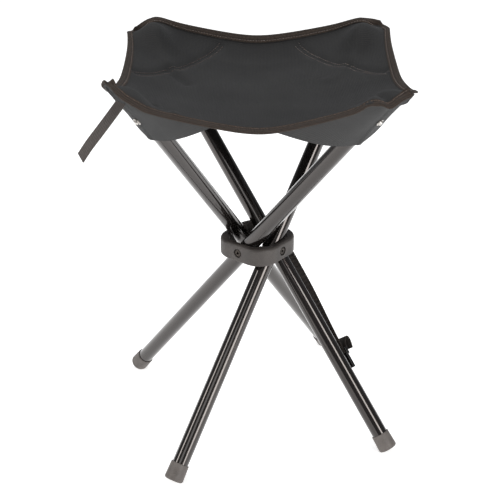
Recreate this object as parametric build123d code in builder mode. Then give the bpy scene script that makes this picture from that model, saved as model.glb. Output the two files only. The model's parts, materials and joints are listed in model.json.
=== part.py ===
from build123d import *
import os
from math import atan2, cos, degrees, hypot, radians, sin, sqrt, tan

# Folding camp stool: four tubes crossing through a moulded hub, with a cloth sling seat.
# Origin on the floor under the hub's axis, X and Y along the seat's sides, Z up.

# Leg tubes
tube_d = 19.0
tube_wall = 1.2
leg_lean = 38.9  # degrees from upright when open
leg_above = 285.0  # pivot to the tube's upper end, along the tube
leg_below = 289.0  # pivot to the tube's lower end
leg_offset = 21.5  # hub axis to each tube's axis

# Feet and plugs
cap_length = 21.0
cap_floor = 4.3
cap_wall = 1.2  # at the cup's mouth
cap_flare = 0.6  # widening of its radius down to the floor
cap_rim = 2.5
cap_flat = 0.9  # worn flat where the rim meets the floor
plug_head = 2.0
plug_stem = 12.0

# Hub
hub_wall = 6.2  # moulding outside each tube
hub_height = 22.0
hub_corner_r = 24.0
hub_edge_r = 4.0
tube_room = 0.8  # moulding to tube, all round
slot_room = 2.2  # past the tube at each end of its slot
rivet_recess = 2.4
recess_room = 1.3  # round the rivet's head

# Pivot rivets
rivet_d = 6.0
rivet_head_d = 8.4
rivet_head = 1.8
rivet_bore_d = 3.2
running_fit = 0.08
push_fit = 0.04

# Seat cloth
cloth = 1.2
ear_overhang = 29.2  # tube end to the corner, along X
ear_width = 10.0
side_bow = 3.0  # how far the middle of a side pulls in
seat_knee = 132.0  # radius where the sling turns up to the tube ends
seat_sag = 52.0  # middle of the seat below the tube ends
knee_sag = 34.0  # the knee below the tube ends
ear_rise = 6.0
binding_width = 8.5
binding = 0.8
stitch_gap = 0.1
cloth_gap = 0.35

# Corner pockets
pocket_depth = 70.0
pocket_spread = 42.0  # half width where the pocket is widest
pocket_wing = 33.0  # half width at the tube's end
pocket_nose = 22.0
pocket_room = 0.6
screw_down = 23.0  # tube end to the pocket screw
screw_d = 3.2
screw_head_d = 6.4
screw_head = 2.0
washer_d = 9.0
washer = 0.8

# Webbing
webbing = 1.5
corner_strap_width = 19.0
corner_strap_drop = 54.0
corner_strap_reach = 25.0
closing_strap_width = 20.0
closing_strap_length = 158.0
buckle_length = 27.0
buckle_side = 2.0  # buckle outside the webbing, each side
buckle_thick = 6.0
buckle_bar_d = 3.0

tube_r = tube_d / 2
lean = radians(leg_lean)
cap_mouth_r = tube_r + cap_wall
cap_r = cap_mouth_r + cap_flare
foot = leg_below + cap_floor
pivot_height = (foot - cap_rim) * cos(lean) + (cap_r - cap_rim) * sin(lean) + cap_rim - cap_flat
leg_top = leg_above + plug_head
corner_turn = degrees(atan2(leg_top * sin(lean), leg_offset))
hub_half = leg_offset + tube_r + tube_room + hub_wall
slot_length = hub_height * tan(lean) + tube_d / cos(lean) + 2 * slot_room
top_r = hypot(leg_offset, leg_top * sin(lean))
rim_r = top_r - tube_r * cos(lean)
rim_z = pivot_height + leg_top * cos(lean) + tube_r * sin(lean)
seat_low = rim_z - seat_sag
knee_z = rim_z - knee_sag
seat_rim = rim_z + 0.6
seat_ear = top_r / sqrt(2) + ear_overhang
seat_half = seat_ear - side_bow
ear_r = seat_ear * sqrt(2) + 4
buckle_width = closing_strap_width + 2 * buckle_side

# Seat corner that each leg carries, as an angle from X.
legs = {"a": 225, "b": 315, "c": 45, "d": 135}


def pivot(corner):
    """The plane of a leg: origin at its pivot, X out of the hub, Z up the tube."""
    side = radians(corner - corner_turn)
    out = Vector(cos(side), sin(side), 0)
    across = Vector(-sin(side), cos(side), 0)
    up = across * sin(lean) + Vector(0, 0, cos(lean))
    middle = out * leg_offset + Vector(0, 0, pivot_height)
    return Plane(origin=middle, x_dir=out, z_dir=up)


def across_leg(leg, along, direction):
    """A plane on the tube's axis at a distance from the pivot, facing a direction."""
    return Plane(origin=leg.origin + leg.z_dir * along, x_dir=leg.z_dir, z_dir=direction)


def save(part, label):
    part.label = label
    export_step(part, f"parts/{label}.step")


def seat_curve(lift):
    """Half of the seat's section, from the middle out to a corner, raised by lift."""
    with BuildLine() as curve:
        bend = (seat_knee**2 + (knee_z - seat_low) ** 2) / (2 * (knee_z - seat_low))
        knee_slope = seat_knee / (bend - (knee_z - seat_low))
        TangentArc((0, seat_low + lift), (seat_knee, knee_z + lift), tangent=(1, 0))
        Spline(
            (seat_knee, knee_z + lift),
            (rim_r, seat_rim + lift),
            (ear_r, seat_rim + ear_rise + lift),
            tangents=((1, knee_slope), (1, 0.1)),
        )
    return curve.line


def seat_shell(low, high):
    """Everything between two copies of the seat's surface."""
    bottom = seat_curve(low)
    top = seat_curve(high)
    with BuildPart() as shell:
        with BuildSketch(Plane.XZ):
            with BuildLine():
                add(bottom)
                add(top)
                Line(bottom @ 0, top @ 0)
                Line(bottom @ 1, top @ 1)
            make_face()
        revolve(axis=Axis.Z)
    return shell.part


def seat_outline(grow):
    """The seat's plan: sides that pull in, and a blunt ear at each corner."""
    ear = seat_ear + grow
    inner = ear - ear_width / 2
    with BuildSketch() as outline:
        with BuildLine():
            for turn in range(4):
                place = Rot(0, 0, 90 * turn)
                points = [(-inner, -ear), (0, -seat_half - grow), (inner, -ear), (ear, -inner)]
                first, middle, last, after = [(place * Pos(*p)).position for p in points]
                ThreePointArc(first, middle, last)
                Line(last, after)
        make_face()
    return outline.sketch


os.makedirs("parts", exist_ok=True)

# Moulded hub ring: a rounded square with a four-lobed opening for the tubes
hub_plane = Plane(
    origin=(0, 0, pivot_height - hub_height / 2),
    x_dir=pivot(legs["c"]).x_dir,
    z_dir=(0, 0, 1),
)
with BuildPart() as hub_ring:
    with BuildSketch(hub_plane):
        RectangleRounded(2 * hub_half, 2 * hub_half, hub_corner_r)
    extrude(amount=hub_height)
    fillet(hub_ring.edges().group_by(Axis.Z)[-1], hub_edge_r)
    fillet(hub_ring.edges().group_by(Axis.Z)[0], hub_edge_r / 2)
    with BuildSketch(hub_plane):
        with PolarLocations(leg_offset, 4):
            SlotOverall(slot_length, tube_d + 2 * tube_room, rotation=90)
        Rectangle(2 * leg_offset, 2 * leg_offset)
    extrude(amount=hub_height, mode=Mode.SUBTRACT)
    for corner in legs.values():
        side = pivot(corner)
        face = across_leg(side, 0, side.x_dir).offset(hub_half - leg_offset)
        with Locations(face):
            CounterBoreHole(
                rivet_d / 2 + push_fit,
                rivet_head_d / 2 + recess_room,
                rivet_recess,
                depth=hub_wall + tube_room + 1,
            )
save(hub_ring.part, "hub_ring")

panel = seat_shell(0, cloth)
over_pocket = seat_shell(-binding - cloth_gap, 4 * tube_d)

for name, corner in legs.items():
    leg = pivot(corner)
    head_base = hub_half - leg_offset - rivet_recess + push_fit
    if name == "d":
        head_base = hub_half - leg_offset + webbing + 2 * cloth_gap

    # Tubular pivot rivet, headed outside the hub and flared inside the tube
    inner_end = -tube_r - cloth_gap - rivet_head
    with BuildPart() as pivot_rivet:
        with BuildSketch(across_leg(leg, 0, leg.x_dir).offset(inner_end)):
            Circle(rivet_d / 2)
        extrude(amount=head_base - inner_end)
        with BuildSketch(across_leg(leg, 0, leg.x_dir).offset(inner_end)):
            Circle(rivet_head_d / 2 - 0.6)
        extrude(amount=rivet_head)
        with BuildSketch(across_leg(leg, 0, leg.x_dir).offset(head_base)):
            Circle(rivet_head_d / 2)
        extrude(amount=rivet_head)
        outer = leg.origin + leg.x_dir * (head_base + rivet_head)
        rims = pivot_rivet.edges().filter_by(GeomType.CIRCLE).group_by(SortBy.RADIUS)[-1]
        fillet(rims.sort_by_distance(outer)[0], 0.8)
        with BuildSketch(across_leg(leg, 0, leg.x_dir).offset(head_base + rivet_head)):
            Circle(rivet_bore_d / 2)
        extrude(amount=-8, mode=Mode.SUBTRACT)
    save(pivot_rivet.part, f"pivot_rivet_{name}")

    # Steel tube with its pivot hole and the pocket screw's hole
    with BuildPart() as leg_tube:
        with BuildSketch(leg.offset(-leg_below)):
            Circle(tube_r)
            Circle(tube_r - tube_wall, mode=Mode.SUBTRACT)
        extrude(amount=leg_below + leg_above)
        with BuildSketch(across_leg(leg, 0, leg.x_dir)):
            Circle(rivet_d / 2 + running_fit)
        extrude(amount=tube_d, both=True, mode=Mode.SUBTRACT)
        with BuildSketch(across_leg(leg, leg_above - screw_down, leg.y_dir)):
            Circle(screw_d / 2 + running_fit)
        extrude(amount=tube_d, mode=Mode.SUBTRACT)
    save(leg_tube.part, f"leg_tube_{name}")

    # Plastic plug in the tube's upper end
    with BuildPart() as top_plug:
        with BuildSketch(leg.offset(leg_above)):
            Circle(tube_r)
        extrude(amount=plug_head)
        rims = top_plug.edges().filter_by(GeomType.CIRCLE).sort_by_distance(leg.origin)
        fillet(rims[-1], 0.8)
        with BuildSketch(leg.offset(leg_above)):
            Circle(tube_r - tube_wall - push_fit)
        extrude(amount=-plug_stem)
    save(top_plug.part, f"top_plug_{name}")

    # Foot cap: a tapered cup pushed over the tube, cut flat where it stands
    with BuildPart() as foot_cap:
        with BuildSketch(leg.offset(-foot)):
            Circle(cap_r)
        with BuildSketch(leg.offset(cap_length - foot)):
            Circle(cap_mouth_r)
        loft()
        rims = foot_cap.edges().filter_by(GeomType.CIRCLE).sort_by_distance(leg.origin)
        fillet(rims[-1], cap_rim)
        rims = foot_cap.edges().filter_by(GeomType.CIRCLE).sort_by_distance(leg.origin)
        fillet(rims[0], 0.6)
        with BuildSketch(leg.offset(-leg_below - push_fit)):
            Circle(tube_r + push_fit)
        extrude(amount=cap_length, mode=Mode.SUBTRACT)
        split(bisect_by=Plane.XY, keep=Keep.TOP)
    save(foot_cap.part, f"foot_cap_{name}")

    # Cloth pocket under the seat's corner: a sleeve that widens to the seat's edges
    snug = tube_r + pocket_room
    with BuildPart() as corner_pocket:
        for skin, mode in ((cloth, Mode.ADD), (0, Mode.SUBTRACT)):
            stations = [
                (leg_top - pocket_depth, snug, 0, snug),
                (leg_top - pocket_depth / 2, pocket_spread, 0, snug),
                (leg_top, pocket_wing, 0, snug),
                (leg_top + pocket_nose + skin, pocket_wing / 4, tube_r, cloth * 2),
            ]
            for low, high in zip(stations, stations[1:]):
                for along_tube, half_width, drop, half_depth in (low, high):
                    with BuildSketch(leg.offset(along_tube)):
                        with Locations((0, drop)):
                            Ellipse(half_width + skin, half_depth + skin)
                loft(mode=mode)
        add(over_pocket, mode=Mode.SUBTRACT)
        with BuildSketch(across_leg(leg, leg_above - screw_down, leg.y_dir)):
            Circle(screw_d / 2 + running_fit)
        extrude(amount=tube_d, mode=Mode.SUBTRACT)
    save(corner_pocket.part, f"corner_pocket_{name}")

    # Washer and domed screw that hold the pocket to the tube, on the leg's outer side
    seat_of_washer = snug + cloth + 0.1
    screw_plane = across_leg(leg, leg_above - screw_down, leg.y_dir)
    with BuildPart() as pocket_washer:
        with BuildSketch(screw_plane.offset(seat_of_washer)):
            Circle(washer_d / 2)
            Circle(screw_d / 2 + running_fit, mode=Mode.SUBTRACT)
        extrude(amount=washer)
    save(pocket_washer.part, f"pocket_washer_{name}")
    with BuildPart() as pocket_screw:
        with BuildSketch(screw_plane.offset(tube_r - tube_wall - 3)):
            Circle(screw_d / 2)
        extrude(amount=seat_of_washer + washer + push_fit + 3 + tube_wall - tube_r)
        with BuildSketch(screw_plane.offset(seat_of_washer + washer + push_fit)):
            Circle(screw_head_d / 2)
        extrude(amount=screw_head, taper=25)
    save(pocket_screw.part, f"pocket_screw_{name}")

# Seat panel: one cloth, cut to the outline
with BuildPart() as seat_panel:
    add(panel)
    with BuildSketch():
        add(seat_outline(0))
    extrude(amount=2 * rim_z, mode=Mode.INTERSECT)
save(seat_panel.part, "seat_panel")

# Binding tape folded over each side of the panel, one length per side
sides = {"front": 0, "right": 90, "back": 180, "left": 270}
taped = seat_shell(-binding - stitch_gap, cloth + binding + stitch_gap)
inside = seat_shell(-stitch_gap, cloth + stitch_gap)
reach = 2 * seat_ear
with BuildPart() as held:
    add(inside)
    with BuildSketch():
        add(seat_outline(stitch_gap))
    extrude(amount=2 * rim_z, mode=Mode.INTERSECT)
for name, turn in sides.items():
    with BuildPart() as edge_binding:
        add(taped)
        with BuildSketch():
            add(seat_outline(binding + stitch_gap))
            add(seat_outline(-binding_width), mode=Mode.SUBTRACT)
            with BuildLine(Plane.XY.rotated((0, 0, turn))):
                Polyline((0, -1), (-reach, -reach - 1), (reach, -reach - 1), close=True)
            make_face(mode=Mode.INTERSECT)
        extrude(amount=2 * rim_z, mode=Mode.INTERSECT)
        add(held.part, mode=Mode.SUBTRACT)
    save(edge_binding.part, f"edge_binding_{name}")

# Loose webbing strap sewn under the front left ear
diagonal = Vector(cos(radians(legs["a"])), sin(radians(legs["a"])), 0)
strap_plane = Plane(origin=(0, 0, 0), x_dir=diagonal, z_dir=diagonal.cross(Vector(0, 0, 1)))
root_r = seat_ear * sqrt(2) - 15
root_z = seat_rim + ear_rise - binding - cloth_gap - webbing
with BuildPart() as corner_strap:
    with BuildSketch(strap_plane):
        with BuildLine():
            Spline(
                (root_r, root_z),
                (root_r + 0.62 * corner_strap_reach, root_z - 0.42 * corner_strap_drop),
                (root_r + corner_strap_reach, root_z - corner_strap_drop),
                tangents=((1, -0.2), (0.25, -1)),
            )
        trace(line_width=webbing)
    extrude(amount=corner_strap_width / 2, both=True)
save(corner_strap.part, "corner_strap")

# Closing strap: hung on the back right leg's rivet, down the leg to a buckle half
leg = pivot(legs["d"])
along = Plane(origin=leg.origin, x_dir=leg.z_dir, z_dir=leg.y_dir)
strap_top = hub_half - leg_offset + cloth_gap + webbing / 2
strap_low = tube_r + cloth_gap + webbing / 2
bar_s = -closing_strap_length - buckle_bar_d - 4
turn_r = buckle_bar_d / 2 + cloth_gap + webbing / 2
with BuildPart() as closing_strap:
    with BuildSketch(along):
        with BuildLine():
            fall = ThreePointArc(
                (8, strap_top),
                (-closing_strap_length / 2, strap_top - 1.2),
                (-closing_strap_length, strap_low + 0.4),
            )
            Line(fall @ 1, (bar_s, strap_low))
            ThreePointArc(
                (bar_s, strap_low),
                (bar_s - turn_r, strap_low + turn_r),
                (bar_s, strap_low + 2 * turn_r),
            )
            Spline(
                (bar_s, strap_low + 2 * turn_r),
                (bar_s + 14, strap_low + 2 * turn_r + 10),
                (bar_s + 6, strap_low + 2 * turn_r + 14),
                tangents=((1, 0), (-1, -0.2)),
            )
        trace(line_width=webbing)
    extrude(amount=closing_strap_width / 2, both=True)
    with BuildSketch(across_leg(leg, 0, leg.x_dir)):
        Circle(rivet_d / 2 + cloth_gap)
    extrude(amount=2 * strap_top, mode=Mode.SUBTRACT)
save(closing_strap.part, "closing_strap")

# Buckle half: a flat moulding with a bar for the webbing
buckle_low = tube_r + cloth_gap
with BuildPart() as buckle:
    with BuildSketch(along.offset(-buckle_width / 2)):
        with BuildLine():
            Polyline(
                (bar_s - turn_r - 2, buckle_low),
                (bar_s - buckle_length, buckle_low),
                (bar_s - buckle_length, buckle_low + buckle_thick * 0.55),
                (bar_s - turn_r - 5, buckle_low + buckle_thick),
                (bar_s - turn_r - 2, buckle_low + buckle_thick),
                close=True,
            )
        make_face()
    extrude(amount=buckle_width)
    with BuildSketch(along.offset(-buckle_width / 2)):
        with Locations((bar_s, strap_low + turn_r)):
            Circle(buckle_bar_d / 2)
    extrude(amount=buckle_width)
    for edge in (-buckle_width / 2, buckle_width / 2 - 1.8):
        with BuildSketch(along.offset(edge)):
            with BuildLine():
                Polyline(
                    (bar_s + buckle_bar_d / 2, buckle_low + 0.4),
                    (bar_s - turn_r - 4, buckle_low),
                    (bar_s - turn_r - 4, buckle_low + buckle_thick),
                    (bar_s + buckle_bar_d / 2, buckle_low + buckle_thick - 0.6),
                    close=True,
                )
            make_face()
        extrude(amount=1.8)
save(buckle.part, "buckle")
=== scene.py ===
import json
from math import acos, atan2, cos, exp, hypot, pi, radians, sin

import bpy
from mathutils import Matrix, Vector


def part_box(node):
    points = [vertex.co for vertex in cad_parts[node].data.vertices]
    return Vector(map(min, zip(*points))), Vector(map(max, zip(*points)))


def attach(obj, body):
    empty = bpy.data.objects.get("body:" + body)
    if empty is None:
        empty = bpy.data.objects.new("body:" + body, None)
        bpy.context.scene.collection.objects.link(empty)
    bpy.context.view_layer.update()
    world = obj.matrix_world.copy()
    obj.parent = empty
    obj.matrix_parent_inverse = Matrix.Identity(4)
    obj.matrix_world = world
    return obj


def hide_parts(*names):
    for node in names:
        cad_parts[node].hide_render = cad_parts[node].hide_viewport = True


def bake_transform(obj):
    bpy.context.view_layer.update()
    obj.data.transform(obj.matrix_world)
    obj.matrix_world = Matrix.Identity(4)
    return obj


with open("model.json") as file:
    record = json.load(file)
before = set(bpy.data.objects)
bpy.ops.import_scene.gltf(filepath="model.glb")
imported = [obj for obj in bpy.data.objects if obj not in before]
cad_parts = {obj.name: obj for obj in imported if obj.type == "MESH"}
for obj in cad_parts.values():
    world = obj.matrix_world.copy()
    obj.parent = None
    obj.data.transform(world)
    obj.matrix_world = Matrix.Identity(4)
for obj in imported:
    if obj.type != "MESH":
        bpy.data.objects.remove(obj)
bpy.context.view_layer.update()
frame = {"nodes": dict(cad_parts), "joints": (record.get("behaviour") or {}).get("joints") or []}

# Real sizes, in metres
MM = 0.001
TUBE_R = 9.5 * MM
LEG_TOP = 287 * MM  # pivot to the plug's upper face, along the tube
CLOTH = 1.2 * MM
SIDE_HALF = 154 * MM  # hub axis to the middle of a side
SIDE_BOW = 8 * MM  # how much further out the corners reach
# The left and right sides' middles lie this much to the right. The back corners reach this much further out,
# and the front corners this much less.
SIDE_SKEW = 3 * MM
WEBBING = 1.5 * MM

# Heights of the seat's middle, of the middle of each side, of the sides beside a tube end, and of each tip
MIDDLE = 408 * MM
SIDES = {"front": 433 * MM, "right": 441 * MM, "back": 437 * MM, "left": 441 * MM}
SHOULDERS = {
    ("front", "a"): 456 * MM, ("front", "b"): 462 * MM,
    ("right", "b"): 461 * MM, ("right", "c"): 455 * MM,
    ("back", "c"): 457 * MM, ("back", "d"): 458 * MM,
    ("left", "d"): 450 * MM, ("left", "a"): 459 * MM,
}
CORNERS = {"a": (-1, -1), "b": (1, -1), "c": (1, 1), "d": (-1, 1)}
TIPS = {"a": 481 * MM, "b": 470 * MM, "c": 456 * MM, "d": 447 * MM}

legs = {}
for joint in frame["joints"]:
    out = Vector(joint["axis"])
    lean = radians(joint["range_deg"][1])
    across = Vector((-out.y, out.x, 0))
    legs[joint["child"][-1]] = {
        "pivot": Vector(joint["pos_m"]),
        "out": out,
        "up": across * sin(lean) + Vector((0, 0, cos(lean))),
        "under": across * cos(lean) - Vector((0, 0, sin(lean))),
    }


# ---------------------------------------------------------------- materials

def linear(colour):
    """An sRGB hex colour as linear RGBA."""
    parts = [int(colour[i:i + 2], 16) / 255 for i in (1, 3, 5)]
    return (*[p / 12.92 if p < 0.04045 else ((p + 0.055) / 1.055) ** 2.4 for p in parts], 1)


def add_node(material, kind, inputs=None, **settings):
    """Adds a node to a material, with its settings, and its inputs as values or links."""
    tree = material.node_tree
    made = tree.nodes.new("ShaderNode" + kind)
    for key, value in settings.items():
        setattr(made, key, value)
    for key, value in (inputs or {}).items():
        if isinstance(value, bpy.types.NodeSocket):
            tree.links.new(value, made.inputs[key])
        else:
            made.inputs[key].default_value = value
    return made


def new_material(name):
    """An empty node material and its surface shader."""
    material = bpy.data.materials.new(name)
    material.use_nodes = True
    material.node_tree.nodes.clear()
    shader = add_node(material, "BsdfPrincipled")
    output = add_node(material, "OutputMaterial")
    material.node_tree.links.new(shader.outputs[0], output.inputs["Surface"])
    return material, shader


def finish_material(material, shader, colour, roughness, height=None, depth=0.0, **fixed):
    """Links colour, roughness and bump to the shader and sets its constant values."""
    tree = material.node_tree
    for key, value in (("Base Color", colour), ("Roughness", roughness)):
        if isinstance(value, bpy.types.NodeSocket):
            tree.links.new(value, shader.inputs[key])
        else:
            shader.inputs[key].default_value = value
    if height is not None:
        bump = add_node(material, "Bump", {"Height": height, "Distance": depth})
        tree.links.new(bump.outputs[0], shader.inputs["Normal"])
    for key, value in fixed.items():
        shader.inputs[key.replace("_", " ")].default_value = value
    return material


def shades(material, factor, *stops):
    """A colour ramp over the given places and colours."""
    ramp = add_node(material, "ValToRGB", {"Fac": factor})
    while len(ramp.color_ramp.elements) < len(stops):
        ramp.color_ramp.elements.new(0.5)
    for element, (place, colour) in zip(ramp.color_ramp.elements, stops):
        element.position = place
        element.color = linear(colour)
    return ramp.outputs["Color"]


def levels(material, factor, low, high):
    """A value stretched from 0..1 to low..high."""
    return add_node(material, "MapRange", {"Value": factor, "To Min": low, "To Max": high}).outputs[0]


def woven_polyester(name, dark, light, width, length):
    """600 denier polyester, plain weave, PU coated: a matt cloth with a faint grid and soft mottling."""
    material, shader = new_material(name)
    uv = add_node(material, "UVMap").outputs["UV"]
    sheet = add_node(material, "Mapping", {"Vector": uv, "Scale": (width, length, 1)}).outputs[0]
    # threads lie 0.45 mm apart; drawn at 1.7 mm so that the grid shows
    thread = 0.314 / 1.7
    warp = add_node(material, "TexWave",
                    {"Vector": sheet, "Scale": thread, "Distortion": 0.6, "Detail": 1.0})
    weft = add_node(material, "TexWave",
                    {"Vector": sheet, "Scale": thread, "Distortion": 0.6, "Detail": 1.0},
                    bands_direction="Y")
    grid = add_node(material, "Math", {0: warp.outputs["Fac"], 1: weft.outputs["Fac"]}, operation="MULTIPLY")
    fuzz = add_node(material, "TexNoise", {"Vector": sheet, "Scale": 0.9, "Detail": 4.0, "Roughness": 0.7})
    cloud = add_node(material, "TexNoise", {"Vector": sheet, "Scale": 0.022, "Detail": 3.0})
    mottle = add_node(material, "Mix", {"Factor": 0.45, 2: fuzz.outputs["Fac"], 3: cloud.outputs["Fac"]})
    tone = add_node(material, "Mix", {"Factor": 0.3, 2: mottle.outputs[0], 3: grid.outputs[0]})
    colour = shades(material, tone.outputs[0], (0.2, dark), (0.75, light))
    rough = levels(material, fuzz.outputs["Fac"], 0.72, 0.95)
    relief = add_node(material, "Mix", {"Factor": 0.4, 2: grid.outputs[0], 3: fuzz.outputs["Fac"]})
    return finish_material(material, shader, colour, rough, relief.outputs[0], 0.35 * MM,
                           Sheen_Weight=0.06, Sheen_Roughness=0.5, Sheen_Tint=(0.8, 0.82, 0.85, 1),
                           Specular_IOR_Level=0.25)


def narrow_weave(name, dark, light, width, length, rib, gloss=0.7):
    """Polypropylene webbing or grosgrain tape: ribs across its length."""
    material, shader = new_material(name)
    uv = add_node(material, "UVMap").outputs["UV"]
    strip = add_node(material, "Mapping", {"Vector": uv, "Scale": (width, length, 1)}).outputs[0]
    ribs = add_node(material, "TexWave", {"Vector": strip, "Scale": 0.314 / rib, "Distortion": 0.4},
                    bands_direction="Y")
    cords = add_node(material, "TexWave", {"Vector": strip, "Scale": 0.314 / (rib * 1.3), "Distortion": 0.8},
                     bands_direction="X")
    weave = add_node(material, "Mix", {"Factor": 0.4, 2: ribs.outputs["Fac"], 3: cords.outputs["Fac"]})
    dust = add_node(material, "TexNoise", {"Vector": strip, "Scale": 0.35, "Detail": 4.0})
    tone = add_node(material, "Mix", {"Factor": 0.5, 2: weave.outputs[0], 3: dust.outputs["Fac"]})
    colour = shades(material, tone.outputs[0], (0.25, dark), (0.75, light))
    rough = levels(material, dust.outputs["Fac"], gloss - 0.1, gloss + 0.15)
    return finish_material(material, shader, colour, rough, weave.outputs[0], 0.5 * MM,
                           Sheen_Weight=0.05, Sheen_Roughness=0.4, Specular_IOR_Level=0.3)


def painted_steel():
    """Mild steel tube, stoved gloss black enamel: mirror-like lines of light, faint orange peel."""
    material, shader = new_material("gloss_black_enamel")
    place = add_node(material, "TexCoord").outputs["Object"]
    # the enamel's ripples are about 4 mm apart
    peel = add_node(material, "TexNoise", {"Vector": place, "Scale": 240.0, "Detail": 2.0, "Roughness": 0.4})
    film = add_node(material, "TexNoise", {"Vector": place, "Scale": 14.0, "Detail": 4.0})
    colour = shades(material, film.outputs["Fac"], (0.3, "#060505"), (0.7, "#0b0908"))
    rough = levels(material, film.outputs["Fac"], 0.14, 0.24)
    return finish_material(material, shader, colour, rough, peel.outputs["Fac"], 0.005 * MM,
                           Coat_Weight=1.0, Coat_Roughness=0.03, Coat_IOR=1.5,
                           Specular_IOR_Level=0.35, Specular_Tint=(1, 0.82, 0.74, 1))


def moulded_plastic(name, dark, light, low, high, grain=0.9, depth=0.12):
    """Glass filled nylon or polypropylene, injection moulded in a spark eroded tool: fine even grain."""
    material, shader = new_material(name)
    place = add_node(material, "TexCoord").outputs["Object"]
    # the tool's grain is 0.3 mm; drawn coarser so that it shows
    skin = add_node(material, "TexNoise",
                    {"Vector": place, "Scale": 1000 / grain, "Detail": 3.0, "Roughness": 0.6})
    flow = add_node(material, "TexNoise", {"Vector": place, "Scale": 42.0, "Detail": 4.0, "Distortion": 0.6})
    tone = add_node(material, "Mix", {"Factor": 0.6, 2: skin.outputs["Fac"], 3: flow.outputs["Fac"]})
    colour = shades(material, tone.outputs[0], (0.35, dark), (0.68, light))
    rough = levels(material, flow.outputs["Fac"], low, high)
    return finish_material(material, shader, colour, rough, skin.outputs["Fac"], depth * MM,
                           Specular_IOR_Level=0.45)


def worn_metal(name, dark, light, low, high):
    """Plated or blackened steel, pressed: a dull bright metal with rubbed patches."""
    material, shader = new_material(name)
    place = add_node(material, "TexCoord").outputs["Object"]
    rub = add_node(material, "TexNoise", {"Vector": place, "Scale": 420.0, "Detail": 5.0, "Roughness": 0.7})
    pits = add_node(material, "TexVoronoi", {"Vector": place, "Scale": 900.0})
    colour = shades(material, rub.outputs["Fac"], (0.35, dark), (0.7, light))
    rough = levels(material, rub.outputs["Fac"], low, high)
    return finish_material(material, shader, colour, rough, pits.outputs["Distance"], 0.05 * MM,
                           Metallic=0.9)


def sewing_thread():
    """Bonded polyester thread, two ply: small bright twists."""
    material, shader = new_material("bonded_thread")
    place = add_node(material, "TexCoord").outputs["Object"]
    twist = add_node(material, "TexWave", {"Vector": place, "Scale": 260.0, "Distortion": 1.0},
                     bands_direction="DIAGONAL")
    colour = shades(material, twist.outputs["Fac"], (0.2, "#2b1f19"), (0.8, "#5a4639"))
    return finish_material(material, shader, colour, levels(material, twist.outputs["Fac"], 0.5, 0.75),
                           twist.outputs["Fac"], 0.1 * MM, Sheen_Weight=0.3)


enamel = painted_steel()
hub_nylon = moulded_plastic("moulded_nylon", "#2c2826", "#4a4542", 0.42, 0.6)
cap_plastic = moulded_plastic("moulded_polypropylene", "#4d4845", "#736d69", 0.45, 0.62)
acetal = moulded_plastic("moulded_acetal", "#070707", "#141414", 0.18, 0.3, 1.4, 0.03)
rivet_steel = worn_metal("blackened_steel", "#1d1a18", "#57504a", 0.32, 0.5)
screw_steel = worn_metal("nickel_plate", "#8f8b86", "#e6e2dc", 0.18, 0.34)
seat_weave = woven_polyester("seat_polyester", "#1a1a1b", "#333333", 315, 315)
pocket_weave = woven_polyester("pocket_polyester", "#252525", "#424242", 150, 130)
tape_weave = narrow_weave("grosgrain_tape", "#19130f", "#3e332b", 16, 160, 1.6)
grey_webbing = narrow_weave("grey_webbing", "#393432", "#5c5653", 19, 70, 1.9)
dark_webbing = narrow_weave("dark_webbing", "#15100e", "#332a25", 20, 230, 1.9)
thread = sewing_thread()


# ---------------------------------------------------------------- ways of making pieces

def pick(*pieces):
    """Selects only these pieces and makes the first one active."""
    bpy.ops.object.select_all(action="DESELECT")
    for piece in pieces:
        piece.select_set(True)
    bpy.context.view_layer.objects.active = pieces[0]


def paint(piece, material):
    """Gives a piece its material."""
    piece.data.materials.clear()
    piece.data.materials.append(material)


def named(name):
    """The object just added, under its name."""
    piece = bpy.context.object
    piece.name = name
    piece.data.name = name
    return piece


def apply_modifier(piece, kind, **settings):
    """Adds a modifier and applies it."""
    modifier = piece.modifiers.new("step", kind)
    for key, value in settings.items():
        setattr(modifier, key, value)
    pick(piece)
    bpy.ops.object.modifier_apply(modifier=modifier.name)


def shade_smooth(piece, angle=35):
    """Smooth shading with edges sharper than the angle kept."""
    pick(piece)
    bpy.ops.object.shade_smooth_by_angle(angle=radians(angle))


def grid_of(name, across, along, place):
    """A cloth sheet: a grid whose points are laid where place puts them, -1 to 1 each way."""
    bpy.ops.object.select_all(action="DESELECT")
    bpy.ops.mesh.primitive_grid_add(x_subdivisions=across, y_subdivisions=along, size=2, calc_uvs=True)
    sheet = named(name)
    for vertex in sheet.data.vertices:
        vertex.co = place(vertex.co.x, vertex.co.y)
    return sheet


def smooth_line(points, count):
    """Evenly numbered points on a smooth line through the given ones."""
    line = []
    for i in range(count):
        share = i / (count - 1) * (len(points) - 1)
        k = min(int(share), len(points) - 2)
        t = share - k
        before = points[max(k - 1, 0)]
        first, last = points[k], points[k + 1]
        after = points[min(k + 2, len(points) - 1)]
        line.append(0.5 * (2 * first + (last - before) * t
                           + (2 * before - 5 * first + 4 * last - after) * t * t
                           + (3 * first - before - 3 * last + after) * t ** 3))
    return line


# ---------------------------------------------------------------- the seat's surface

def side_height(share, side, low_end, high_end):
    """Height along a side: a rounded dip in the middle, up past the tube end, then on to the corner."""
    name = high_end if share > 0 else low_end
    run = min(1, abs(share) / 0.76)
    rise = (hypot(run, 0.25) - 0.25) / (hypot(1, 0.25) - 0.25)
    past = max(0, (abs(share) - 0.7) / 0.3)
    past = past * past * (3 - 2 * past)
    shoulder = SIDES[side] + (SHOULDERS[side, name] - SIDES[side]) * rise
    return shoulder + (TIPS[name] - shoulder) * past


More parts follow.
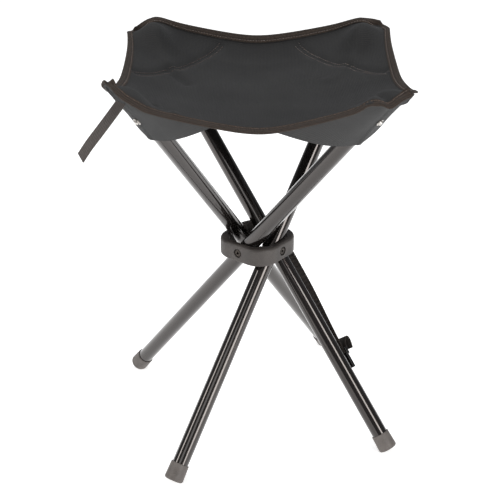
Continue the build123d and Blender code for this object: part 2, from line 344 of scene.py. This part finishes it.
def hung_height(u, v):
    """Height of cloth stretched between the four sides, before the tube ends push it up."""
    s, t = ((abs(w) ** 0.75 * w + 1) / 2 for w in (u, v))
    front = side_height(u, "front", "a", "b")
    back = side_height(u, "back", "d", "c")
    left = side_height(v, "left", "a", "d")
    right = side_height(v, "right", "b", "c")
    corners = (1 - t) * ((1 - s) * TIPS["a"] + s * TIPS["b"]) + t * ((1 - s) * TIPS["d"] + s * TIPS["c"])
    level = (1 - t) * front + t * back + (1 - s) * left + s * right - corners
    flat = (1 - abs(u) ** 3) * (1 - abs(v) ** 3)
    centre = sum(SIDES.values()) / 2 - sum(TIPS.values()) / 4
    slack = (42 + 24 * v) * MM * (1 - u * u) * (1 - v * v) * (u * u + v * v)
    return level + (MIDDLE - centre) * flat - slack


def side_reach(w, v):
    """How far a side lies from the middle: nearly straight, then out to its corners."""
    return SIDE_HALF + w**4 * (SIDE_BOW + v * SIDE_SKEW)


def side_shift(u, v):
    """The left and right sides lie a little to the right."""
    return SIDE_SKEW * max(0, u * u - v * v)


def plan(u, v):
    """Where a point of the sheet lies seen from above, with its corners rounded."""
    x, y = u * side_reach(v, v) + side_shift(u, v), v * side_reach(u, v)
    past = abs(x) + abs(y) - 290 * MM
    if past > 0:
        pull = (past - 10 * MM * (1 - exp(-past / (10 * MM)))) / 2
        x -= pull if x > 0 else -pull
        y -= pull if y > 0 else -pull
    return x, y


def sheet_place(x, y):
    """The sheet's own coordinates of a point seen from above."""
    u, v = x / SIDE_HALF, y / SIDE_HALF
    for _ in range(8):
        u, v = (x - side_shift(u, v)) / side_reach(v, v), y / side_reach(u, v)
    return max(-1, min(1, u)), max(-1, min(1, v))


LUMPS = {}
for name, (side_x, side_y) in CORNERS.items():
    spot = Vector((side_x, side_y)).normalized() * 177 * MM
    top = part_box(f"top_plug_{name}")[1].z + CLOTH / 2 + 0.9 * MM
    LUMPS[name] = (spot, top - hung_height(*sheet_place(*spot)))


def fold(x, y, start, end, width, height):
    """A ridge or dip in the cloth along a line, fading out past its ends."""
    a, b, p = Vector(start) * MM, Vector(end) * MM, Vector((x, y))
    run = b - a
    share = max(0, min(1, (p - a).dot(run) / run.length_squared))
    away = (p - a - run * share).length
    return height * MM * exp(-((away / (width * MM)) ** 2))


# Folds and seams pressed into the cloth: from, to, half width and height, in mm
FOLDS = [
    ((-140, 29), (-104, 72), 5, -3.4),
    ((-104, 72), (-47, 142), 5, -3.4),
    ((144, 31), (107, 77), 5, -3.2),
    ((107, 77), (51, 142), 5, -3.2),
    ((-104, 76), (-118, 112), 10, 5.0),
    ((107, 80), (120, 112), 10, 4.5),
    ((-98, 62), (-84, 44), 7, -3.0),
    ((100, 70), (84, 52), 9, 2.6),
    ((-140, -104), (-104, -108), 7, 5.0),
    ((-104, -108), (-84, -140), 6, 5.0),
    ((140, -106), (104, -108), 7, 3.6),
    ((104, -108), (92, -140), 6, 3.4),
    ((-86, -122), (-50, -132), 6, 1.6),
    ((106, -160), (112, -142), 8, 3.5),
    ((131, -160), (122, -140), 6, -5.0),
    ((-80, -120), (80, -120), 6, 1.5),
]


def seat_point(u, v):
    """A point of the seat cloth's middle surface."""
    x, y = plan(u, v)
    z = hung_height(u, v)
    for spot, height in LUMPS.values():
        away = hypot(x - spot.x, y - spot.y)
        z += height * exp(-((away / (21 * MM)) ** 2))
    z += 4 * MM * v * max(0, (abs(v) - 0.93) / 0.07) ** 2
    for start, end, width, height in FOLDS:
        z += fold(x, y, start, end, width, height)
    return Vector((x, y, z))


def seat_normal(u, v):
    """The way the seat cloth faces, upwards."""
    step = 0.012
    along_x = seat_point(min(1, u + step), v) - seat_point(max(-1, u - step), v)
    along_y = seat_point(u, min(1, v + step)) - seat_point(u, max(-1, v - step))
    return along_x.cross(along_y).normalized()


def quarter(point):
    """The leg whose corner a point lies nearest to, and whether it lies on a front or back side."""
    name = next(n for n, (x, y) in CORNERS.items() if point[0] * x >= 0 and point[1] * y >= 0)
    return name, abs(point[1]) > abs(point[0])


def hang(piece, name, end_side):
    """Bakes a piece's placement into its mesh."""
    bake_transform(piece)


# ---------------------------------------------------------------- seat cloth, in eight parts

whole = grid_of("whole_seat", 120, 120, lambda u, v: Vector((u, v, 0)))
for normal in ((1, 1, 0), (1, -1, 0)):
    pick(whole)
    bpy.ops.object.mode_set(mode="EDIT")
    bpy.ops.mesh.select_all(action="SELECT")
    bpy.ops.mesh.bisect(plane_co=(0, 0, 0), plane_no=normal)
    bpy.ops.object.mode_set(mode="OBJECT")
places = [quarter(face.center) for face in whole.data.polygons]
for vertex in whole.data.vertices:
    vertex.co = seat_point(vertex.co.x, vertex.co.y)

seat_parts = {}
for name in CORNERS:
    for end_side in (True, False):
        part = whole.copy()
        part.data = whole.data.copy()
        bpy.context.collection.objects.link(part)
        part.name = part.data.name = f"seat_cloth_{name}_{'end' if end_side else 'side'}"
        pick(part)
        for face in part.data.polygons:
            face.select = places[face.index] != (name, end_side)
        bpy.ops.object.mode_set(mode="EDIT")
        bpy.ops.mesh.select_mode(type="FACE")
        bpy.ops.mesh.delete(type="FACE")
        bpy.ops.object.mode_set(mode="OBJECT")
        seat_parts[name, end_side] = part
apply_modifier(whole, "SOLIDIFY", thickness=CLOTH, offset=0)
shade_smooth(whole, 60)
for (name, end_side), part in seat_parts.items():
    apply_modifier(part, "SOLIDIFY", thickness=CLOTH, offset=0)
    shade_smooth(part, 60)
    apply_modifier(part, "DATA_TRANSFER", object=whole, use_loop_data=True,
                   data_types_loops={"CUSTOM_NORMAL"}, loop_mapping="POLYINTERP_NEAREST")
    paint(part, seat_weave)
    hang(part, name, end_side)
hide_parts("seat_panel")
bpy.data.objects.remove(whole)


# ---------------------------------------------------------------- binding tape folded over the edges

PROFILE = [(9.0, 0.96), (6.4, 1.0), (3.4, 1.02), (1.2, 1.0), (-0.2, 0.85), (-0.85, 0.35), (-0.85, -0.35),
           (-0.2, -0.85), (1.2, -1.0), (3.4, -1.02), (6.4, -1.0), (9.0, -0.96)]
STITCH_INSET = 6.6 * MM  # from the seat's edge
STITCH_LIFT = 1.42 * MM  # from the middle of the cloth to the thread
STITCH_PITCH = 3.4 * MM

# The pocket seams at the two back corners, sewn through the seat in twin rows: from and to, in mm
SEAMS = [
    ((-149, 19), (-104, 72)),
    ((-104, 72), (-43, 147)),
    ((149, 19), (107, 77)),
    ((107, 77), (47, 147)),
]


def edge_frame(share, side):
    """A point of a side's edge, the way in from it and the way up. Share runs from -1 to 1."""
    turned = {"front": (share, -1), "right": (1, share), "back": (-share, 1), "left": (-1, -share)}[side]
    edge = seat_point(*turned)
    inner = seat_point(turned[0] * 0.955, turned[1] * 0.955)
    inward = (inner - edge).normalized()
    up = seat_normal(turned[0] * 0.98, turned[1] * 0.98)
    up = (up - inward * up.dot(inward)).normalized()
    return edge, inward, up


def make_stitch():
    """One lock stitch, 2.4 mm long: a six-sided thread with drawn-in ends."""
    bpy.ops.object.select_all(action="DESELECT")
    bpy.ops.mesh.primitive_cylinder_add(vertices=6, radius=0.42 * MM, depth=1.5 * MM,
                                        rotation=(0, pi / 2, 0))
    stitch = named("stitch")
    bpy.ops.object.transform_apply(location=True, rotation=True, scale=True)
    for end in (-1, 1):
        for face in stitch.data.polygons:
            face.select = face.center.x * end > 0.6 * MM
        bpy.ops.object.mode_set(mode="EDIT")
        bpy.ops.mesh.select_mode(type="FACE")
        bpy.ops.mesh.extrude_region_move(TRANSFORM_OT_translate={"value": (end * 0.5 * MM, 0, -0.2 * MM)})
        bpy.ops.transform.resize(value=(1, 0.35, 0.35))
        bpy.ops.object.mode_set(mode="OBJECT")
    for polygon in stitch.data.polygons:
        polygon.use_smooth = True
    return stitch


stitch = make_stitch()
sewn = {}


def sew(place, along, up):
    """Sets one stitch into the cloth and keeps it with the part of the seat it is in."""
    along = (along - up * along.dot(up)).normalized()
    copy = stitch.copy()
    copy.data = stitch.data.copy()
    turn = Matrix((along, up.cross(along), up)).transposed().to_4x4()
    copy.data.transform(Matrix.Translation(place) @ turn)
    bpy.context.collection.objects.link(copy)
    sewn.setdefault(quarter(place), []).append(copy)


for side in SIDES:
    for half in (-1, 1):
        def tape_place(a, b, side=side, half=half):
            share = half * (b + 1) / 2
            edge, inward, up = edge_frame(share, side)
            inset, lift = PROFILE[round((a + 1) / 2 * (len(PROFILE) - 1))]
            return edge + inward * inset * MM + up * lift * MM
        order = "first" if half < 0 else "second"
        tape = grid_of(f"edge_tape_{side}_{order}", len(PROFILE) - 1, 90, tape_place)
        pick(tape)
        bpy.ops.object.mode_set(mode="EDIT")
        bpy.ops.mesh.select_all(action="SELECT")
        bpy.ops.mesh.normals_make_consistent(inside=False)
        bpy.ops.object.mode_set(mode="OBJECT")
        apply_modifier(tape, "SOLIDIFY", thickness=0.65 * MM, offset=0)
        shade_smooth(tape, 50)
        paint(tape, tape_weave)
        middle = edge_frame(half * 0.5, side)[0]
        hang(tape, *quarter(middle))
        seat_parts[quarter(middle)].name
    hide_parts(f"edge_binding_{side}")
    count = 94
    for i in range(count):
        share = -0.985 + 1.97 * (i + 0.5) / count
        edge, inward, up = edge_frame(share, side)
        ahead = edge_frame(min(1, share + 0.01), side)[0] - edge_frame(max(-1, share - 0.01), side)[0]
        for lift in (1, -1):
            sew(edge + inward * STITCH_INSET + up * lift * STITCH_LIFT, ahead, up * lift)

for start, end in SEAMS:
    first, last = Vector(start) * MM, Vector(end) * MM
    run = last - first
    beside = Vector((-run.y, run.x)).normalized()
    count = int(run.length / STITCH_PITCH)
    for row in (-2.6, 2.6):
        for i in range(1, count):
            spot = first + run * i / count + beside * row * MM
            place = sheet_place(*spot)
            up = seat_normal(*place)
            sew(seat_point(*place) + up * (CLOTH / 2 + 0.1 * MM), Vector((run.x, run.y, 0)), up)

for (name, end_side), copies in sewn.items():
    pick(*copies)
    bpy.ops.object.join()
    row = named(f"stitches_{name}_{'end' if end_side else 'side'}")
    paint(row, thread)
    hang(row, name, end_side)
bpy.data.objects.remove(stitch)


# ---------------------------------------------------------------- corner pockets

SNUG = TUBE_R + 0.6 * MM + CLOTH / 2
SEAM_DOWN = 1.9 * MM  # the pocket's edge lies this far under the seat
SIDE_SEAM = 0.7  # length of a pocket's seams, as a share of half a side
LONG_SEAM = 0.9  # the same for the right hand pockets' seams along the front and back


def taut_round(leg, stations, share, across):
    """A point of cloth drawn from one edge round the under side of the tube to the other edge."""
    axis, radius, first, last = stations(share)
    def flat(point):
        gap = point - axis
        return gap.dot(leg["out"]), gap.dot(leg["under"]), gap.dot(leg["up"])
    edge = first if across > 0 else last
    t, n, s = flat(edge)
    t = abs(t)
    reach = hypot(t, n)
    turn = atan2(t, n) - acos(min(1, radius / max(reach, radius)))
    turn = max(turn, 0.02)
    share_round = min(1, abs(across) / 0.4)
    angle = turn * share_round
    place = Vector((radius * sin(angle), radius * cos(angle), 0))
    if abs(across) > 0.4:
        f = (abs(across) - 0.4) / 0.6
        place = place.lerp(Vector((t, n, s)), f)
        slack = 0.09 * reach * sin(pi * f)
        place += Vector((cos(turn + 0.6) * -0.3 * slack, slack, 0))
    sign = 1 if across > 0 else -1
    return axis + leg["out"] * place.x * sign + leg["under"] * place.y + leg["up"] * place.z


for name, (side_x, side_y) in CORNERS.items():
    leg = legs[name]
    tip = seat_point(side_x, side_y)
    tube_end = leg["pivot"] + leg["up"] * (LEG_TOP + 1.2 * MM)

    def stations(share, leg=leg, tip=tip, tube_end=tube_end, side_x=side_x, side_y=side_y):
        far = 1 - (LONG_SEAM if side_x > 0 else SIDE_SEAM) * share
        down = Vector((0, 0, SEAM_DOWN))
        one = seat_point(side_x * 0.985 * far, side_y * 0.98) - down
        two = seat_point(side_x * 0.98, side_y * 0.985 * (1 - SIDE_SEAM * share)) - down
        if (one - leg["pivot"]).dot(leg["out"]) < (two - leg["pivot"]).dot(leg["out"]):
            one, two = two, one
        if share < 0.28:
            part = share / 0.28
            low_tip = tip * 0.975 - Vector((0, 0, -0.025 * tip.z + 4 * MM))
            return low_tip.lerp(tube_end, part), 1.5 * MM + (SNUG - 1.5 * MM) * part ** 0.5, one, two
        part = (share - 0.28) / 0.72
        length = (58 if side_x < 0 else 63) * MM
        slack = 5 * MM * max(0, part - 0.5) ** 1.5
        return tube_end - leg["up"] * part * length, SNUG + slack, one, two

    pocket = grid_of(f"pocket_{name}", 48, 44,
                     lambda a, b: taut_round(leg, stations, (b + 1) / 2, a if a else 1e-9))
    apply_modifier(pocket, "SOLIDIFY", thickness=CLOTH, offset=0)
    pick(pocket)
    bpy.ops.object.mode_set(mode="EDIT")
    bpy.ops.mesh.select_all(action="SELECT")
    bpy.ops.mesh.normals_make_consistent(inside=False)
    bpy.ops.object.mode_set(mode="OBJECT")
    shade_smooth(pocket, 60)
    paint(pocket, pocket_weave)
    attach(pocket, f"leg_{name}")
    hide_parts(f"corner_pocket_{name}")


# ---------------------------------------------------------------- straps

def webbing_strip(name, line, aside, width, material, body, node):
    """A flat strap along a line, as wide as it is aside."""
    def place(a, b):
        k = min(int(round((b + 1) / 2 * (len(line) - 1))), len(line) - 1)
        return line[k] + aside * a * width / 2
    strip = grid_of(name, 10, len(line) - 1, place)
    apply_modifier(strip, "SOLIDIFY", thickness=WEBBING, offset=0)
    pick(strip)
    bpy.ops.object.mode_set(mode="EDIT")
    bpy.ops.mesh.select_all(action="SELECT")
    bpy.ops.mesh.normals_make_consistent(inside=False)
    bpy.ops.object.mode_set(mode="OBJECT")
    apply_modifier(strip, "BEVEL", width=0.45 * MM, segments=2, limit_method="ANGLE",
                   angle_limit=radians(50))
    shade_smooth(strip, 50)
    paint(strip, material)
    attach(strip, body)
    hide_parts(node)
    return strip


fall = [Vector(p) * MM for p in ((-133, -136, 465), (-139, -141, 455), (-149, -144, 442), (-160, -147, 428),
                                 (-171, -149, 414), (-180, -151, 401))]
across = Vector((-0.379, 0.907, 0.16)).normalized()
webbing_strip("corner_strap_tail", smooth_line(fall, 50), across, 19 * MM,
              grey_webbing, "leg_a", "corner_strap")

leg = legs["d"]
route = [(8, 17.6), (-30, 17.9), (-80, 17.0), (-125, 13.4), (-158, 10.9), (-165, 10.6), (-167.4, 12.0),
         (-167.4, 14.4), (-164.0, 16.4), (-157, 20.0), (-152.5, 25.5), (-154.0, 28.6), (-160.0, 28.8),
         (-168.0, 26.0)]
run = [leg["pivot"] + leg["up"] * s * MM + leg["out"] * h * MM + leg["under"] * 3.5 * MM for s, h in route]
webbing_strip("closing_strap_web", smooth_line(run, 150), leg["under"], 20 * MM,
              dark_webbing, "leg_d", "closing_strap")


def buckle_half():
    """Half of a side-release buckle: a flat body with a mouth, and a bar for the webbing."""
    bpy.ops.object.select_all(action="DESELECT")
    bpy.ops.mesh.primitive_cube_add(size=1)
    body = named("buckle_half")
    body.data.transform(Matrix.Diagonal((20 * MM, 24 * MM, 5.4 * MM, 1)))
    for face in body.data.polygons:
        face.select = face.normal.x < -0.5
    bpy.ops.object.mode_set(mode="EDIT")
    bpy.ops.mesh.select_mode(type="FACE")
    bpy.ops.transform.resize(value=(1, 0.82, 0.72))
    bpy.ops.mesh.inset(thickness=1.3 * MM)
    bpy.ops.mesh.extrude_region_move(TRANSFORM_OT_translate={"value": (12 * MM, 0, 0)})
    bpy.ops.object.mode_set(mode="OBJECT")
    for face in body.data.polygons:
        face.select = abs(face.normal.y) > 0.5 and abs(face.center.y) > 9 * MM
    bpy.ops.object.mode_set(mode="EDIT")
    bpy.ops.mesh.inset(thickness=1.6 * MM, use_individual=True)
    bpy.ops.transform.translate(value=(0, 0, 0))
    bpy.ops.object.mode_set(mode="OBJECT")
    apply_modifier(body, "BEVEL", width=0.7 * MM, segments=3, limit_method="ANGLE", angle_limit=radians(40))
    pieces = [body]
    for side in (-1, 1):
        bpy.ops.object.select_all(action="DESELECT")
        bpy.ops.mesh.primitive_cube_add(size=1)
        arm = named("buckle_arm")
        arm.data.transform(Matrix.Translation((12 * MM, side * 11.1 * MM, 0))
                           @ Matrix.Diagonal((9 * MM, 1.8 * MM, 4.6 * MM, 1)))
        apply_modifier(arm, "BEVEL", width=0.6 * MM, segments=3)
        pieces.append(arm)
    bpy.ops.object.select_all(action="DESELECT")
    bpy.ops.mesh.primitive_cylinder_add(vertices=24, radius=1.5 * MM, depth=22.4 * MM,
                                        rotation=(pi / 2, 0, 0))
    bar = named("buckle_bar")
    bpy.ops.object.transform_apply(location=True, rotation=True, scale=True)
    bar.data.transform(Matrix.Translation((13.2 * MM, 0, 0)))
    pieces.append(bar)
    pick(*pieces)
    bpy.ops.object.join()
    return body


buckle = buckle_half()
turn = Matrix((leg["up"], leg["under"], leg["out"])).transposed().to_4x4()
hung_at = leg["pivot"] + leg["up"] * -178.2 * MM + leg["out"] * 13.2 * MM + leg["under"] * 3.5 * MM
buckle.data.transform(Matrix.Translation(hung_at) @ turn)
pick(buckle)
bpy.ops.object.mode_set(mode="EDIT")
bpy.ops.mesh.select_all(action="SELECT")
bpy.ops.mesh.normals_make_consistent(inside=False)
bpy.ops.object.mode_set(mode="OBJECT")
shade_smooth(buckle, 40)
paint(buckle, acetal)
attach(buckle, "leg_d")
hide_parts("buckle")


# ---------------------------------------------------------------- pieces carried over from the frame

KEPT = {
    "hub_ring": (hub_nylon, "hub_plastic"),
    "leg_tube": (enamel, "tube_paint"),
    "foot_cap": (cap_plastic, "cap_plastic"),
    "top_plug": (cap_plastic, "cap_plastic"),
    "pivot_rivet": (rivet_steel, "rivet_steel"),
    "pocket_washer": (screw_steel, "screw_steel"),
    "pocket_screw": (screw_steel, "screw_steel"),
    "seat_panel": (seat_weave, "seat_cloth"),
    "edge_binding": (tape_weave, "binding_tape"),
    "corner_pocket": (pocket_weave, "pocket_cloth"),
    "corner_strap": (grey_webbing, "strap_webbing"),
    "closing_strap": (dark_webbing, "dark_webbing"),
    "buckle": (acetal, "buckle_plastic"),
}
for node_name, node in frame["nodes"].items():
    family = next(f for f in KEPT if node_name.startswith(f))
    node.data.materials.clear()
    node.data.materials.append(KEPT[family][0])


# ---------------------------------------------------------------- studio

bpy.ops.object.select_all(action="DESELECT")
bpy.ops.mesh.primitive_plane_add(size=16, location=(0, 2, 0))
floor = named("floor")
white, shader = new_material("studio_floor")
speck = add_node(white, "TexNoise", {"Vector": add_node(white, "TexCoord").outputs["Object"], "Scale": 3.0})
finish_material(white, shader, shades(white, speck.outputs["Fac"], (0.3, "#f4f4f4"), (0.7, "#f8f8f8")), 0.85,
                Emission_Color=(1, 1, 1, 1), Emission_Strength=0.62, Specular_IOR_Level=0.1)
floor.data.materials.append(white)

world = bpy.data.worlds.new("studio")
world.use_nodes = True
world.node_tree.nodes["Background"].inputs["Color"].default_value = (0.9, 0.92, 0.95, 1)
world.node_tree.nodes["Background"].inputs["Strength"].default_value = 0.22
bpy.context.scene.world = world


def softbox(name, place, target, width, height, power, colour):
    """A large soft light aimed at a point."""
    lamp = bpy.data.lights.new(name, "AREA")
    lamp.shape = "RECTANGLE"
    lamp.size, lamp.size_y, lamp.energy, lamp.color = width, height, power, colour
    holder = bpy.data.objects.new(name, lamp)
    holder.location = place
    holder.rotation_euler = (Vector(target) - Vector(place)).to_track_quat("-Z", "Y").to_euler()
    bpy.context.collection.objects.link(holder)


softbox("overhead", (0, 0.5, 2.6), (0, 0, 0.2), 2.4, 2.0, 40, (1, 1, 1))
softbox("left_strip", (-2.0, -0.9, 1.0), (0, 0, 0.25), 0.5, 1.8, 22, (1, 0.97, 0.94))
softbox("right_panel", (1.5, -1.9, 0.7), (0, 0, 0.25), 0.8, 2.2, 44, (1, 0.98, 0.96))
softbox("front_fill", (-0.5, -2.6, 1.7), (0, 0, 0.3), 1.2, 0.8, 5, (1, 1, 1))

# Camera: 1.37 m from the hub, 26 degrees up
target = Vector((0, 0, legs["a"]["pivot"].z))
raised, aside = radians(25.95), radians(-0.51)
back = Vector((sin(aside) * cos(raised), -cos(aside) * cos(raised), sin(raised)))
camera = bpy.data.objects.new("camera", bpy.data.cameras.new("camera"))
camera.data.sensor_width = 36
camera.data.lens = 82.94
camera.data.shift_x = -0.0147
camera.data.shift_y = -0.0153
turned = (-back).to_track_quat("-Z", "Y").to_matrix() @ Matrix.Rotation(radians(0.31), 3, "Z")
camera.matrix_world = Matrix.Translation(target + back * 1.3715) @ turned.to_4x4()
bpy.context.collection.objects.link(camera)
bpy.context.scene.camera = camera
bpy.context.scene.view_settings.view_transform = "Standard"
